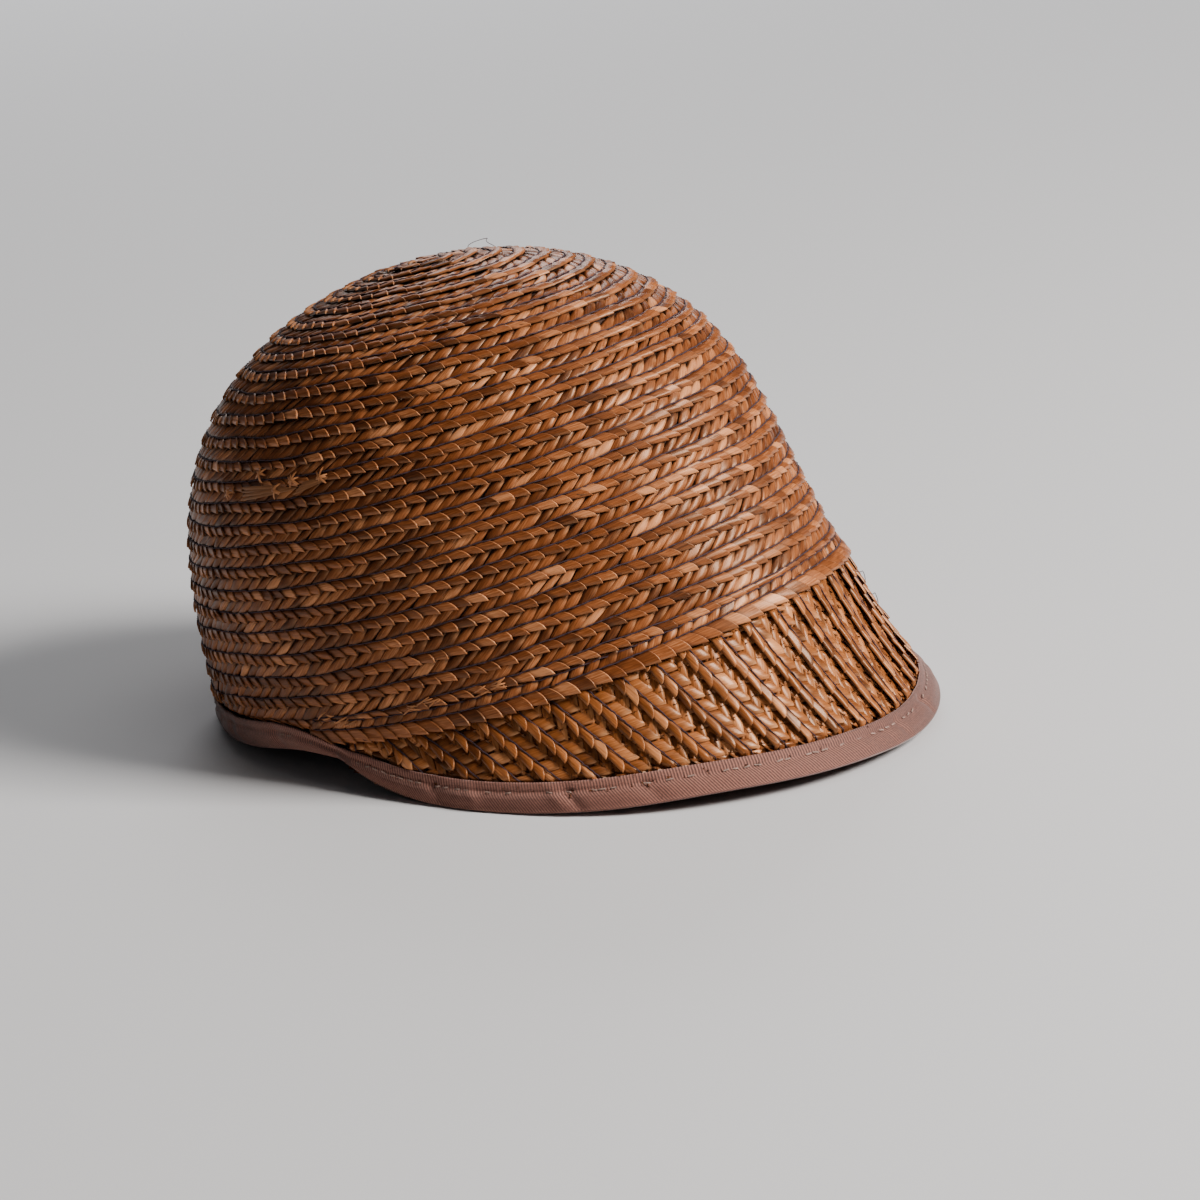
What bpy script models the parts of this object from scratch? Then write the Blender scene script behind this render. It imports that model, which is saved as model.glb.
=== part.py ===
"""Straw cap: a domed crown of lapped plait rows, a ribbed straw peak and a ribbon bound rim.

Metres, +Z up. The cap is drawn over its crown axis with the front at -Y. An empty then leans it
back until it rests on its own rim, the way it would on a table.
Angles go round the crown axis, 0 at the middle of the front, positive towards -X.
Depth is measured inwards from the outer surface of the plait.
"""
import math
from collections import namedtuple

import bmesh
import bpy
import numpy as np
from mathutils import Vector

# Crown
CROWN_HEIGHT = 0.1363
HALF_LENGTH = 0.1020
HALF_WIDTH = 0.0834
DOME_POWER = 1.92
SHOULDER_POWER = 3.6
APEX_FORWARD = 0.0047
FRONT_SWELL = 0.0195
SWELL_TOP = 0.0756

# Plait rows of the crown
ROW_PITCH = 0.0067
ROW_COUNT = 25
FITTED_ROWS = 6
ROW_TUCK = 0.0011
ROW_STEP = 0.0005
CROWN_SIDES = 50
INNER_ROW_STRIDE = 2
DOME_SAMPLES = 400

# Layers of the wall, as depths
LINING_DEPTH = 0.0026
MARGIN_DEPTH = 0.0013
LAP_INNER_DEPTH = 0.0010
LAP_PROUD = 0.0007

# Joint of crown and peak, with the row of plait that laps over it
JOINT_HEIGHT = 0.0128
JOINT_WAVE = 0.0054
LAP_HEIGHT = 0.0073
SEAM_ABOVE_JOINT = 0.0035
SEAM_DROP_START = 90.0
SEAM_DROP_END = 103.0
LAP_END = 99.5
LAP_STEP = 5.0
LAP_SHOULDER = 0.5
LAP_CREST = 0.15
MARGIN_SWAP_START = 100.8
MARGIN_SWAP_END = 108.0

# Peak
PEAK_REACH = 0.0180
PEAK_REACH_END = 101.0
PEAK_REACH_POWER = 0.69
PEAK_BOW = 0.38
PEAK_END = 98.5
PEAK_END_RUN = 3.0
STRIP_PITCH = 6.2
STRIP_PHASE = 5.0
STRIP_STEP = 0.5
STRIP_LEAN = 15.5
STRIP_SKEW = 15.0
STRIP_LEAN_FADE = 86.0
STRIP_PROUD_DEPTH = 0.0005
STRIP_TUCK_DEPTH = 0.0014
STRIP_RELIEF_RUN = 0.006
STRIP_PASSES = 4

# Ribbon folded over the rim, as heights above the rim and depths
RIBBON_THICKNESS = 0.0010
RIBBON_INNER_DEPTH = 0.0044
RIBBON_CORNER = 0.0005
RIBBON_SIDES = 90
RIBBON_FOLD = 0.0016
WALL_ABOVE_RIM = 0.0024
RIBBON_COVER = 0.0008

GAP = 0.0003
FLATTENING = 0.0011
WELD = 1e-6
SHARP_ANGLE = 35.0

RimRow = namedtuple("RimRow", "angle height ribbon")
RIM = (
    RimRow(0.0, -0.0346, 0.0095),
    RimRow(20.0, -0.0314, 0.0095),
    RimRow(40.0, -0.0259, 0.0095),
    RimRow(60.0, -0.0218, 0.0095),
    RimRow(75.0, -0.0170, 0.0095),
    RimRow(88.0, -0.0107, 0.0095),
    RimRow(95.0, -0.0050, 0.0085),
    RimRow(101.0, 0.0010, 0.0060),
    RimRow(108.0, 0.0044, 0.0076),
    RimRow(130.0, 0.0061, 0.0093),
    RimRow(180.0, 0.0097, 0.0095),
)

Finish = namedtuple("Finish", "color roughness metallic")
FINISHES = {
    "crown_straw": Finish((0.26, 0.095, 0.035, 1.0), 0.45, 0.0),
    "peak_straw": Finish((0.30, 0.13, 0.045, 1.0), 0.38, 0.0),
    "rim_ribbon": Finish((0.20, 0.095, 0.075, 1.0), 0.85, 0.0),
}


def smoothstep(low, high, value):
    """Rise from 0 at low to 1 at high."""
    part = min(max((value - low) / (high - low), 0.0), 1.0)
    return part * part * (3.0 - 2.0 * part)


def mix(first, second, share):
    return first + (second - first) * share


def rim_value(column, angle):
    """One column of the rim table at an angle, on a smooth curve through the table's rows."""
    angle = abs(angle)
    knots = [row.angle for row in RIM]
    values = [getattr(row, column) for row in RIM]
    slopes = np.gradient(values, knots)
    slopes[0] = 0.0
    slopes[-1] = 0.0
    place = min(int(np.searchsorted(knots, angle, side="right")) - 1, len(RIM) - 2)
    span = knots[place + 1] - knots[place]
    part = (angle - knots[place]) / span
    rise = values[place + 1] - values[place]
    start = slopes[place] * span
    end = slopes[place + 1] * span
    bend = part * (1.0 - part)
    return values[place] + rise * smoothstep(0.0, 1.0, part) + bend * (start * (1.0 - part) - end * part)


def rim_height(angle):
    return rim_value("height", angle)


def ribbon_height(angle):
    return rim_value("ribbon", angle)


def joint_height(angle):
    """Height of the lower edge of the lapping row, where the peak comes out from under it."""
    return JOINT_HEIGHT + JOINT_WAVE * math.cos(2.0 * math.radians(angle))


def dome_radius(level):
    """Share of the crown's plan size that is left at a level, from 0 at the foot to 1 at the apex."""
    return max(1.0 - level ** SHOULDER_POWER, 0.0) ** (1.0 / DOME_POWER)


def outward(angle):
    """Level direction out of the wall."""
    turn = math.radians(angle)
    return Vector((-math.sin(turn) / HALF_WIDTH, -math.cos(turn) / HALF_LENGTH, 0.0)).normalized()


def crown_point(angle, height, depth):
    """Point of the crown's wall at a height, a depth in from the outer surface."""
    turn = math.radians(angle)
    level = max(height, 0.0) / CROWN_HEIGHT
    radius = dome_radius(level)
    side = -(HALF_WIDTH - depth) * radius * math.sin(turn)
    length = -(HALF_LENGTH - depth) * radius * math.cos(turn) - APEX_FORWARD * level
    swell = FRONT_SWELL * max(1.0 - height / SWELL_TOP, 0.0) ** 2 * max(math.cos(turn), 0.0) ** 2
    return Vector((side, length, height - depth * level)) + outward(angle) * swell


def peak_reach(angle):
    """How far the peak's rim stands out from the crown's wall."""
    part = min(abs(angle) / PEAK_REACH_END, 1.0)
    return PEAK_REACH * max(math.cos(part * math.pi / 2.0), 0.0) ** PEAK_REACH_POWER


def wall_point(angle, height, depth):
    """Point of the wall near the rim: the crown's side, swung outwards below the joint as the peak."""
    joint = joint_height(angle)
    if height >= joint:
        return crown_point(angle, height, depth)
    point = crown_point(angle, joint, depth)
    drop = (joint - height) / (joint - rim_height(angle))
    swing = peak_reach(angle) * drop * (1.0 - PEAK_BOW * (1.0 - drop))
    return Vector((point.x, point.y, height)) + outward(angle) * swing


def crown_angles():
    return [360.0 * side / CROWN_SIDES - 180.0 for side in range(CROWN_SIDES + 1)]


def seam_at_side(angle):
    """Height of the crown's raw edge: over the peak at the front, inside the ribbon at the back."""
    over_peak = joint_height(angle) + SEAM_ABOVE_JOINT
    in_ribbon = rim_height(angle) + WALL_ABOVE_RIM
    return mix(over_peak, in_ribbon, smoothstep(SEAM_DROP_START, SEAM_DROP_END, abs(angle)))


def seam_height(angle):
    """The crown's raw edge is straight between the sides that its shell is built on."""
    angles = crown_angles()
    return float(np.interp(angle, angles, [seam_at_side(side) for side in angles]))


def margin_top(angle):
    """Height where the full rows end and the thin margin under the lap or the ribbon begins."""
    under_lap = joint_height(angle) + LAP_HEIGHT + RIBBON_COVER
    under_ribbon = rim_height(angle) + ribbon_height(angle) + RIBBON_COVER
    share = smoothstep(MARGIN_SWAP_START, MARGIN_SWAP_END, abs(angle))
    return mix(under_lap, under_ribbon, share)


def row_heights():
    """Height of every row's lower edge on an even pitch down the mean side of the dome."""
    levels = 1.0 - np.linspace(0.0, 1.0, DOME_SAMPLES) ** 2
    radii = [dome_radius(level) * (HALF_LENGTH + HALF_WIDTH) / 2.0 for level in levels]
    steps = np.hypot(np.diff(levels * CROWN_HEIGHT), np.diff(radii))
    run = np.concatenate(([0.0], np.cumsum(steps)))
    edges = [ROW_PITCH * row for row in range(1, ROW_COUNT + 1)]
    return [float(np.interp(edge, run, levels * CROWN_HEIGHT)) for edge in edges]


def crown_profile(angle):
    """Section of the crown's wall: down the lapped rows, round the raw edge and up the inside."""
    heights = row_heights()
    shift = heights[-1] - margin_top(angle)
    free = ROW_COUNT - FITTED_ROWS
    edges = [height - shift * max(row + 1 - free, 0) / FITTED_ROWS for row, height in enumerate(heights)]
    profile = [(CROWN_HEIGHT, ROW_TUCK / 2.0)]
    for edge in edges[:-1]:
        profile += [(edge, 0.0), (edge - ROW_STEP, ROW_TUCK)]
    seam = seam_height(angle)
    profile += [(edges[-1], 0.0), (edges[-1] - ROW_STEP / 2.0, MARGIN_DEPTH)]
    profile += [(seam, MARGIN_DEPTH), (seam, LINING_DEPTH)]
    profile += [(edge, LINING_DEPTH) for edge in edges[::-INNER_ROW_STRIDE]]
    profile.append((CROWN_HEIGHT, LINING_DEPTH))
    return profile


def lap_profile(angle):
    """Section of the row that laps over the joint, thickest at its lower edge."""
    joint = joint_height(angle)
    top = joint + LAP_HEIGHT
    shoulder = mix(joint, top, LAP_SHOULDER)
    crest = mix(joint, top, LAP_CREST)
    outer = [(top, 0.0), (shoulder, -LAP_PROUD / 2.0), (crest, -LAP_PROUD)]
    return outer + [(joint, -LAP_PROUD / 2.0), (joint, LAP_INNER_DEPTH), (top, LAP_INNER_DEPTH)]


def peak_profile(angle, rib_depth):
    """Section of the peak: margin under the lap, ribbed face, margin in the ribbon, plain inside."""
    joint = joint_height(angle)
    top = seam_height(angle) - GAP
    foot = rim_height(angle) + WALL_ABOVE_RIM
    face_top = min(joint - 2.0 * GAP, top - GAP)
    ribbon_top = rim_height(angle) + ribbon_height(angle) + RIBBON_COVER
    face_foot = max(min(ribbon_top, face_top - GAP), foot + GAP)
    relief = smoothstep(0.0, STRIP_RELIEF_RUN, face_top - face_foot)
    depth = mix(MARGIN_DEPTH, rib_depth, relief)
    middle = mix(face_top, face_foot, 0.5)
    profile = [(top, MARGIN_DEPTH), (face_top + GAP / 2.0, MARGIN_DEPTH), (face_top, depth)]
    profile += [(middle, depth), (face_foot, depth), (face_foot - GAP / 2.0, MARGIN_DEPTH)]
    profile += [(foot, MARGIN_DEPTH), (foot, LINING_DEPTH), (face_foot, LINING_DEPTH)]
    return profile + [(middle, LINING_DEPTH), (top, LINING_DEPTH)]


def strip_stations():
    """Angles along the joint and face depths of the peak's strips: each one's edge laps over the last."""
    stations = [(PEAK_END, MARGIN_DEPTH), (PEAK_END - PEAK_END_RUN, MARGIN_DEPTH)]
    first = math.floor((PEAK_END - PEAK_END_RUN - STRIP_STEP - STRIP_PHASE) / STRIP_PITCH)
    last = math.ceil((PEAK_END_RUN - PEAK_END + STRIP_STEP - STRIP_PHASE) / STRIP_PITCH)
    for strip in range(first, last - 1, -1):
        edge = STRIP_PHASE + STRIP_PITCH * strip
        stations += [(edge + STRIP_STEP, STRIP_TUCK_DEPTH), (edge, STRIP_PROUD_DEPTH)]
    return stations + [(PEAK_END_RUN - PEAK_END, MARGIN_DEPTH), (-PEAK_END, MARGIN_DEPTH)]


def peak_section(start, rib_depth):
    """Closed section along one strip, which runs forwards as it goes down from the joint."""
    lean = STRIP_LEAN * math.sin(math.radians(start + STRIP_SKEW))
    lean *= 1.0 - smoothstep(STRIP_LEAN_FADE, PEAK_END, abs(start))
    joint = joint_height(start)
    points = []
    for row in range(len(peak_profile(start, rib_depth))):
        angle = start
        for _ in range(STRIP_PASSES):
            height = peak_profile(angle, rib_depth)[row][0]
            drop = (joint - height) / (joint - rim_height(angle))
            angle = start - lean * max(drop, 0.0)
        height, depth = peak_profile(angle, rib_depth)[row]
        points.append(wall_point(angle, height, depth))
    return points


def ribbon_section(angle):
    """Closed U section of the ribbon, folded over the rim."""
    foot = rim_height(angle)
    top = foot + ribbon_height(angle)
    inside = RIBBON_INNER_DEPTH
    outer = [(top, 0.0), (foot + RIBBON_CORNER, 0.0), (foot, RIBBON_CORNER)]
    inner = [(foot, inside - RIBBON_CORNER), (foot + RIBBON_CORNER, inside), (top, inside)]
    fold = foot + RIBBON_FOLD
    hollow = [(top, inside - RIBBON_THICKNESS), (fold, inside - RIBBON_THICKNESS)]
    hollow += [(fold, RIBBON_THICKNESS), (top, RIBBON_THICKNESS)]
    return [wall_point(angle, height, depth) for height, depth in outer + inner + hollow]


def make_material(name):
    finish = FINISHES[name]
    material = bpy.data.materials.new(name)
    material.use_nodes = True
    shader = material.node_tree.nodes["Principled BSDF"]
    shader.inputs["Base Color"].default_value = finish.color
    shader.inputs["Roughness"].default_value = finish.roughness
    shader.inputs["Metallic"].default_value = finish.metallic
    material.diffuse_color = finish.color
    return material


def skin(name, sections, material, collection, seat):
    """Bend a grid over the sections, weld what meets and close what is left open."""
    across = len(sections[0])
    bm = bmesh.new()
    bmesh.ops.create_grid(bm, x_segments=across - 1, y_segments=len(sections) - 1, size=1.0)
    bm.verts.ensure_lookup_table()
    for place, vert in enumerate(bm.verts):
        vert.co = sections[place // across][place % across]
    bmesh.ops.remove_doubles(bm, verts=bm.verts, dist=WELD)
    bmesh.ops.holes_fill(bm, edges=bm.edges, sides=0)
    bmesh.ops.recalc_face_normals(bm, faces=bm.faces)
    mesh = bpy.data.meshes.new(name)
    bm.to_mesh(mesh)
    bm.free()
    mesh.shade_smooth()
    mesh.set_sharp_from_angle(angle=math.radians(SHARP_ANGLE))
    mesh.materials.append(material)
    piece = bpy.data.objects.new(name, mesh)
    piece.parent = seat
    collection.objects.link(piece)
    return piece


def closed(section):
    """A section whose last point is its first again."""
    return section + section[:1]


def make_crown(collection, seat):
    sections = []
    for angle in crown_angles():
        sections.append([wall_point(angle, height, depth) for height, depth in crown_profile(angle)])
    return skin("crown", sections, make_material("crown_straw"), collection, seat)


def make_lap_row(collection, seat, material):
    sections = []
    for angle in np.linspace(-LAP_END, LAP_END, round(2.0 * LAP_END / LAP_STEP) + 1):
        section = [crown_point(angle, height, depth) for height, depth in lap_profile(angle)]
        sections.append(closed(section))
    return skin("lap_row", sections, material, collection, seat)


def make_peak(collection, seat):
    sections = [closed(peak_section(start, depth)) for start, depth in strip_stations()]
    return skin("peak", sections, make_material("peak_straw"), collection, seat)


def make_ribbon(collection, seat):
    angles = [360.0 * side / RIBBON_SIDES - 180.0 for side in range(RIBBON_SIDES + 1)]
    sections = [closed(ribbon_section(angle)) for angle in angles]
    return skin("rim_ribbon", sections, make_material("rim_ribbon"), collection, seat)


def resting_lean():
    """Lean back that sets the rim's lowest places before and behind the crown's middle level."""
    rim = [wall_point(angle, rim_height(angle), RIBBON_CORNER) for angle in range(0, 181)]
    best_height = math.inf
    lean = 0.0
    for front in rim:
        for back in rim:
            if front.y < 0.0 < back.y:
                slope = (back.z - front.z) / (back.y - front.y)
                if front.z - front.y * slope < best_height:
                    best_height = front.z - front.y * slope
                    lean = math.atan(slope)
    return lean


def world_points(piece):
    return [piece.matrix_world @ vert.co for vert in piece.data.vertices]


def rest_on_floor(pieces, ribbon, seat):
    """Lean the cap, flatten the ribbon where it bears, and centre the cap over the origin."""
    seat.rotation_euler.x = -resting_lean()
    bpy.context.view_layer.update()
    floor = min(point.z for point in world_points(ribbon)) + FLATTENING
    back_to_mesh = ribbon.matrix_world.inverted()
    for vert in ribbon.data.vertices:
        point = ribbon.matrix_world @ vert.co
        if point.z < floor:
            vert.co = back_to_mesh @ Vector((point.x, point.y, floor))
    reach = [point.y for piece in pieces for point in world_points(piece)]
    seat.location = (0.0, -(min(reach) + max(reach)) / 2.0, -floor)
    bpy.context.view_layer.update()


def main():
    for old in list(bpy.data.objects):
        bpy.data.objects.remove(old)
    collection = bpy.data.collections.new("straw_cap")
    bpy.context.scene.collection.children.link(collection)
    seat = bpy.data.objects.new("seat", None)
    collection.objects.link(seat)
    crown = make_crown(collection, seat)
    lap_row = make_lap_row(collection, seat, crown.data.materials[0])
    peak = make_peak(collection, seat)
    ribbon = make_ribbon(collection, seat)
    rest_on_floor([crown, lap_row, peak, ribbon], ribbon, seat)


main()
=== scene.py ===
"""Looks of the straw cap: plait of dyed straw, sewing threads, rim ribbon, loose ends, studio.

Metres, +Z up. The cap is drawn over its crown axis with the front at -Y and is then leaned back by
the seat, which is how it rests. Angles are degrees round the crown axis, 0 at the middle of the
front and positive towards -X. Plait is drawn flat in millimetres, along and across, and laid on the
form.
"""
import math
from collections import namedtuple
from functools import partial

import bmesh
import bpy
import numpy as np
from mathutils import Matrix, Vector


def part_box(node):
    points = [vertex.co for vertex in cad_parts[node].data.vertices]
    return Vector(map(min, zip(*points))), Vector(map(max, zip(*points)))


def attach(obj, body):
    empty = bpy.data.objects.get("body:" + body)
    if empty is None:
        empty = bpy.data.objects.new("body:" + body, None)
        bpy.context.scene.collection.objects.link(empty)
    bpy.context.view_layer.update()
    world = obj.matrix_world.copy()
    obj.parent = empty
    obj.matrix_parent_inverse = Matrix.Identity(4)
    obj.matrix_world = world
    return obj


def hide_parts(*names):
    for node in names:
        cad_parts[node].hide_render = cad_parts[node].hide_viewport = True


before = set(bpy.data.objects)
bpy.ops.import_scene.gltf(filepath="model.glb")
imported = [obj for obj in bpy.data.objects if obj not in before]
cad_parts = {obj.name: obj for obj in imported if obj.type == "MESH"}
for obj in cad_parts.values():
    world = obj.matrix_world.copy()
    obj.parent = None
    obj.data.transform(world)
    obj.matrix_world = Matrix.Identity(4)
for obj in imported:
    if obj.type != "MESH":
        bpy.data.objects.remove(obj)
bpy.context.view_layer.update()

MM = 0.001
rng = np.random.default_rng(11)

# Form of the crown
CROWN_HEIGHT = 0.1363
HALF_LENGTH = 0.1020
HALF_WIDTH = 0.0834
DOME_POWER = 1.92
SHOULDER_POWER = 3.6
APEX_FORWARD = 0.0047
FRONT_SWELL = 0.0195
SWELL_TOP = 0.0756
DOME_SAMPLES = 3000

# Joint of crown and peak
JOINT_HEIGHT = 0.0128
JOINT_WAVE = 0.0054
LAP_HEIGHT = 0.0073
LAP_END = 99.5
COVER_SWAP = (100.8, 108.0)
COVER_SINK = 0.0022

# Peak
PEAK_REACH = 0.0180
PEAK_REACH_END = 101.0
PEAK_REACH_POWER = 0.69
PEAK_BOW = 0.38
PEAK_END = 98.5
STRIP_PITCH = 6.2
STRIP_PHASE = 5.0
STRIP_LEAN = 15.5
STRIP_SKEW = 15.0
STRIP_LEAN_FADE = 86.0

# Ribbon
RIBBON_INNER_DEPTH = 0.0044
RIBBON_CORNER = 0.0005
RIBBON_SIDES = 90
RIB_PITCH = 0.00095
RIBBON_THICKNESS = 0.0006
RIBBON_STITCH = 2.9
RIB_RELIEF = 0.00036
RIB_SLANT = 8.8
STITCH_GROOVE = 0.00045
FOLD_HEIGHT = 0.0008
GATHERS = 84
FLATTENING = 0.0011
RIM_SAMPLES = 1441

# Columns of points across the ribbon from its outer top edge: how many each side and the fold have,
# between which its ribs slant and stand straight again, where it is stitched and where its fold is
SIDE_ROWS = 11
FOLD_ROWS = 7
SLANT_COLUMNS = (4.0, 12.0, 17.0, 28.0)
STITCH_COLUMN = 3.4
FOLD_COLUMN = 14

# The ribbon's running stitch, in millimetres, and the share of it that is worked out of sight
RUNNING_PITCH = 3.4
RUNNING_LENGTH = 1.9
RUNNING_WIDTH = 0.42
RUNNING_HEIGHT = 0.24
RUNNING_HIDDEN = 0.40

# Layers of the crown's wall, as depths
CORE_OUTER = 0.00175
CORE_INNER = 0.00220
LINING = 0.00230

# The foot of the core above the joint, and above the rim where there is no peak, and the angles
# between which the one gives way to the other
CORE_OVER_JOINT = 3.6 * MM
CORE_OVER_RIM = 2.6 * MM
CORE_SWAP = (90.0, 103.0)

# How far plait has to stand above the edge that hides it, outside and inside, to be drawn
OUTSIDE_MARGIN = 0.4 * MM
INSIDE_MARGIN = 3.0 * MM

# Layers of the peak's plait, in millimetres: how deep each lies and how far short of the rim it ends,
# how much its strips are shingled, how far it sinks where it is hidden, and its first floats' middle
PeakLayer = namedtuple("PeakLayer", "side depth short tuck sunk first")
PEAK_OUTSIDE = PeakLayer(1.0, 0.9, 4.6, 0.75, 1.9, 1.5)
PEAK_INSIDE = PeakLayer(-1.0, 2.4, 5.2, 0.3, -0.8, -2.2)
PEAK_CORE_DEPTHS = (2.15, 2.35)
PEAK_HEM = 1.2
PEAK_FLOAT_PITCH = 2.8
PEAK_FLOAT_LEANS = (3.2, -5.6)
PEAK_UNEVEN = 1.4

RimRow = namedtuple("RimRow", "angle height ribbon")
RIM = (
    RimRow(0.0, -0.0346, 0.0095),
    RimRow(20.0, -0.0314, 0.0095),
    RimRow(40.0, -0.0259, 0.0095),
    RimRow(60.0, -0.0218, 0.0095),
    RimRow(75.0, -0.0170, 0.0095),
    RimRow(88.0, -0.0107, 0.0095),
    RimRow(95.0, -0.0050, 0.0085),
    RimRow(101.0, 0.0010, 0.0060),
    RimRow(108.0, 0.0044, 0.0076),
    RimRow(130.0, 0.0061, 0.0093),
    RimRow(180.0, 0.0097, 0.0095),
)

# Where each turn of the spiral plait is sewn: run up the side of the dome at the sides and back,
# and at the front, where the turns ride up over the peak
RowPlace = namedtuple("RowPlace", "row side front")
ROWS = (
    RowPlace(-1.2, 0.0074, 0.0171),
    RowPlace(0.0, 0.0158, 0.0251),
    RowPlace(4.0, 0.0438, 0.0510),
    RowPlace(8.0, 0.0705, 0.0758),
    RowPlace(12.0, 0.0970, 0.1010),
    RowPlace(14.0, 0.1120, 0.1121),
    RowPlace(16.0, 0.1280, 0.1261),
    RowPlace(19.0, 0.1487, 0.1457),
    RowPlace(25.15, 0.1900, 0.1900),
)
ROW_START_ANGLE = 105.0
FRONT_RISE = (105.0, 10.0)
ROW_PITCH = 6.72
FIRST_ROW = -1.1
LAST_ROW = 24.9
SPIRAL_SAMPLE = 1.0 / 720.0
SPIRAL_REACH = (-0.05, 0.01)
DRIFT = 0.16

# One stitch of plait, in millimetres across the row with the sewing thread at 0
PLAIT_STEP = 5.0
PEAK_STEP = 5.6
EDGE_BELOW = 3.0
FLOAT_ABOVE = 4.4
ROW_TUCK = 1.15
INNER_TUCK = 0.5
LAP_TUCK = 1.25
JUST_ABOVE = 0.15

# Lap row, in millimetres: its thread over the joint, and how proud it stands
LAP_THREAD = 4.4
LAP_PROUD = 0.60
LAP_SINK = 2.4
LAP_TAIL = 6.5
STRIP_REACH = (0.2, 0.2)

# Sewing thread, in millimetres
STITCH = 3.1
THREAD_STEP = 1.03
CROWN_THREAD_RADIUS = 0.21
STRIP_THREAD_RADIUS = 0.20
LOOSE_THREAD_RADIUS = 0.11
THREAD_SIDES = 5
CROWN_THREAD_LIFT = 0.26
CROWN_THREAD_WAVE = 0.20
STRIP_THREAD_LIFT = 0.46
LAP_THREAD_WAVE = 0.10

# Threads of the lap row: where across it and how high above it each lies
LAP_THREADS = (("lap_thread", 0.0, -0.30), ("lap_top_thread", 2.6, -0.75))

# A leaf of the folded edge, in millimetres but for its overlap, which is in steps of the plait
LEAF_OVERLAP = 1.30
LEAF_TUCK = 0.26
LEAF_RISE = 0.64
LEAF_CUT = 0.62
LEAF_HEM = 0.40

# A float: its width in steps of the plait, and how far its sides and ends drop, in millimetres
FLOAT_WIDTH = 1.22
SIDE_DROP = 0.34
END_DROP = 0.34

# Heights between which straw sinks, from the edge of what covers it: the lap row or the ribbon
# over crown and core, the ribbon over lap row and peak, and the lap row over the peak
CROWN_FADE = (1.4 * MM, -0.8 * MM)
CORE_FADE = (0.6 * MM, -1.0 * MM)
LAP_FADE = (1.2 * MM, -0.6 * MM)
PEAK_FADE = (0.4 * MM, -0.8 * MM)
JOINT_FADE = (-0.6 * MM, 0.6 * MM)

STRAW_FLOOR = 0.3 * MM


def smoothstep(low, high, value):
    part = np.clip((value - low) / (high - low), 0.0, 1.0)
    return part * part * (3.0 - 2.0 * part)


def faded(edge, fade, height):
    """How far a height has passed an edge, from 0 to 1."""
    return smoothstep(edge + fade[0], edge + fade[1], height)


def mix(first, second, share):
    return first + (second - first) * share


def unit(vectors):
    return vectors / np.maximum(np.linalg.norm(vectors, axis=-1, keepdims=True), 1e-12)


def run_along(points):
    return np.concatenate(([0.0], np.cumsum(np.linalg.norm(np.diff(points, axis=0), axis=1))))


def rim_value(column, angle):
    """One column of the rim table at angles, on a smooth curve through the table's rows."""
    angle = np.abs(np.asarray(angle, float))
    knots = np.array([row.angle for row in RIM])
    values = np.array([getattr(row, column) for row in RIM])
    slopes = np.gradient(values, knots)
    slopes[0] = 0.0
    slopes[-1] = 0.0
    place = np.clip(np.searchsorted(knots, angle, side="right") - 1, 0, len(RIM) - 2)
    span = knots[place + 1] - knots[place]
    part = (angle - knots[place]) / span
    rise = values[place + 1] - values[place]
    bend = part * (1.0 - part) * (slopes[place] * span * (1.0 - part) - slopes[place + 1] * span * part)
    return values[place] + rise * part * part * (3.0 - 2.0 * part) + bend


def ribbon_top(angle):
    return rim_value("height", angle) + rim_value("ribbon", angle)


def joint_height(angle):
    return JOINT_HEIGHT + JOINT_WAVE * np.cos(2.0 * np.radians(angle))


def dome_radius(level):
    return np.maximum(1.0 - np.clip(level, 0.0, 1.0) ** SHOULDER_POWER, 0.0) ** (1.0 / DOME_POWER)


def outward(angle):
    turn = np.radians(angle)
    way = [-np.sin(turn) / HALF_WIDTH, -np.cos(turn) / HALF_LENGTH, np.zeros_like(turn)]
    return unit(np.stack(way, axis=-1))


def crown_point(angle, height, depth):
    angle, height, depth = np.broadcast_arrays(angle, height, depth)
    turn = np.radians(angle)
    level = np.maximum(height, 0.0) / CROWN_HEIGHT
    radius = dome_radius(level)
    side = -(HALF_WIDTH - depth) * radius * np.sin(turn)
    length = -(HALF_LENGTH - depth) * radius * np.cos(turn) - APEX_FORWARD * level
    front = np.maximum(np.cos(turn), 0.0) ** 2
    swell = FRONT_SWELL * np.maximum(1.0 - height / SWELL_TOP, 0.0) ** 2 * front
    point = np.stack([side, length, height - depth * level], axis=-1)
    return point + outward(angle) * swell[..., None]


def peak_reach(angle):
    part = np.minimum(np.abs(angle) / PEAK_REACH_END, 1.0)
    return PEAK_REACH * np.maximum(np.cos(part * math.pi / 2.0), 0.0) ** PEAK_REACH_POWER


def wall_point(angle, height, depth):
    """The crown's wall, swung outwards below the joint as the peak."""
    joint = joint_height(angle)
    above = crown_point(angle, np.maximum(height, joint), depth)
    drop = np.clip((joint - height) / (joint - rim_value("height", angle)), 0.0, None)
    swing = peak_reach(angle) * drop * (1.0 - PEAK_BOW * (1.0 - drop))
    above[..., 2] += np.minimum(height - joint, 0.0)
    return above + outward(angle) * swing[..., None]


def side_run():
    """Heights up the dome and the run along its mean side to each."""
    levels = 1.0 - np.linspace(1.0, 0.0, DOME_SAMPLES) ** 2
    radii = dome_radius(levels) * (HALF_LENGTH + HALF_WIDTH) / 2.0
    steps = np.hypot(np.diff(levels * CROWN_HEIGHT), np.diff(radii))
    return levels * CROWN_HEIGHT, np.concatenate(([0.0], np.cumsum(steps)))


SIDE_HEIGHTS, SIDE_RUN = side_run()


def height_at_run(run):
    return np.interp(run, SIDE_RUN, SIDE_HEIGHTS)


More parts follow.
